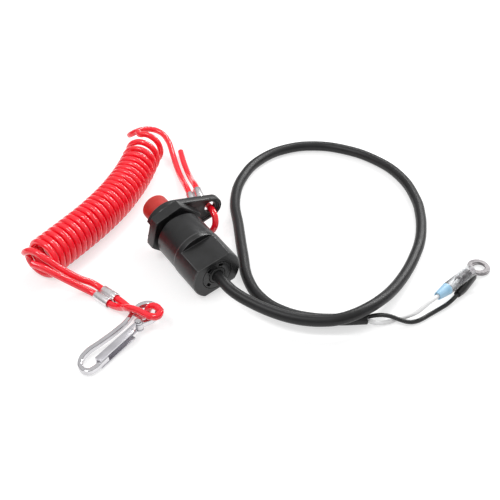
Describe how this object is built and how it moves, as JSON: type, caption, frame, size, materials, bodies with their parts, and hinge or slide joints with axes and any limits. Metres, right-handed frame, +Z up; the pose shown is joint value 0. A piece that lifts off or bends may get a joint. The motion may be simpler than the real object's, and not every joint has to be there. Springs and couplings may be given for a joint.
{
  "type": "engine kill switch with lanyard",
  "caption": "Panel-mount push-button engine stop switch with a fork clip on a coiled red lanyard, snap hook, and a two-core cable with ring terminals.",
  "frame": {"origin": "bottom centre of the box round the switch and its fork clip, on the plane they lie on", "axes": "+Z up; the part lies on its side on a table, the button points to -X +Y, the cable's loop is at +X"},
  "size_m": [0.2313, 0.1908, 0.0299],
  "materials": {
    "black_plastic": "moulded black plastic, satin",
    "red_cap": "moulded red plastic, satin",
    "cable_jacket": "black flexible jacket, satin",
    "red_cord": "glossy red cord",
    "hook_steel": "bright plated steel",
    "ferrule_aluminium": "bright crimped aluminium",
    "contact_brass": "plain brass",
    "spring_steel": "plain spring wire",
    "terminal_metal": "tinned, bright",
    "blue_sleeve": "light blue soft sleeve",
    "clear_sleeve": "clear soft sleeve, shown pale",
    "white_insulation": "white wire insulation",
    "black_insulation": "black wire insulation"
  },
  "bodies": {
    "switch": {"switch_housing": "black_plastic", "rear_cap": "black_plastic", "cable_grommet": "cable_jacket", "panel_nut": "black_plastic", "return_spring": "spring_steel", "contact_block": "black_plastic", "fixed_contact_white": "contact_brass", "fixed_contact_black": "contact_brass", "cable_jacket": "cable_jacket", "wire_white": "white_insulation", "wire_black": "black_insulation", "terminal_white": "terminal_metal", "terminal_black": "terminal_metal", "sleeve_blue": "blue_sleeve", "sleeve_clear": "clear_sleeve", "sleeve_black": "black_insulation"},
    "button": {"stop_button": "red_cap", "plunger": "black_plastic", "contact_bridge": "contact_brass"},
    "lanyard": {"tether_clip": "black_plastic", "lanyard_coil": "red_cord", "lanyard_clip_end": "red_cord", "lanyard_hook_end": "red_cord", "clip_ferrule": "ferrule_aluminium", "hook_ferrule": "ferrule_aluminium", "snap_hook": "hook_steel", "gate_rivet": "hook_steel"},
    "gate": {"hook_gate": "hook_steel"}
  },
  "joints": [
    {"name": "button_press", "type": "slide", "parent": "switch", "child": "button", "axis": [-0.5645, 0.8213, 0.0822], "range_m": [-0.0015, 0.0015], "stiffness_N_per_m": 400, "deforming": ["return_spring"]},
    {"name": "clip_pull", "type": "slide", "parent": "switch", "child": "lanyard", "axis": [0.8241, 0.5664, 0], "range_m": [0, 0.012]},
    {"name": "gate_open", "type": "hinge", "parent": "lanyard", "child": "gate", "pos_m": [-0.02083, -0.05095, 0.00505], "axis": [0.0522, 0.0676, -0.9963], "range_deg": [0, 11], "stiffness_Nm_per_rad": 0.02}
  ]
}
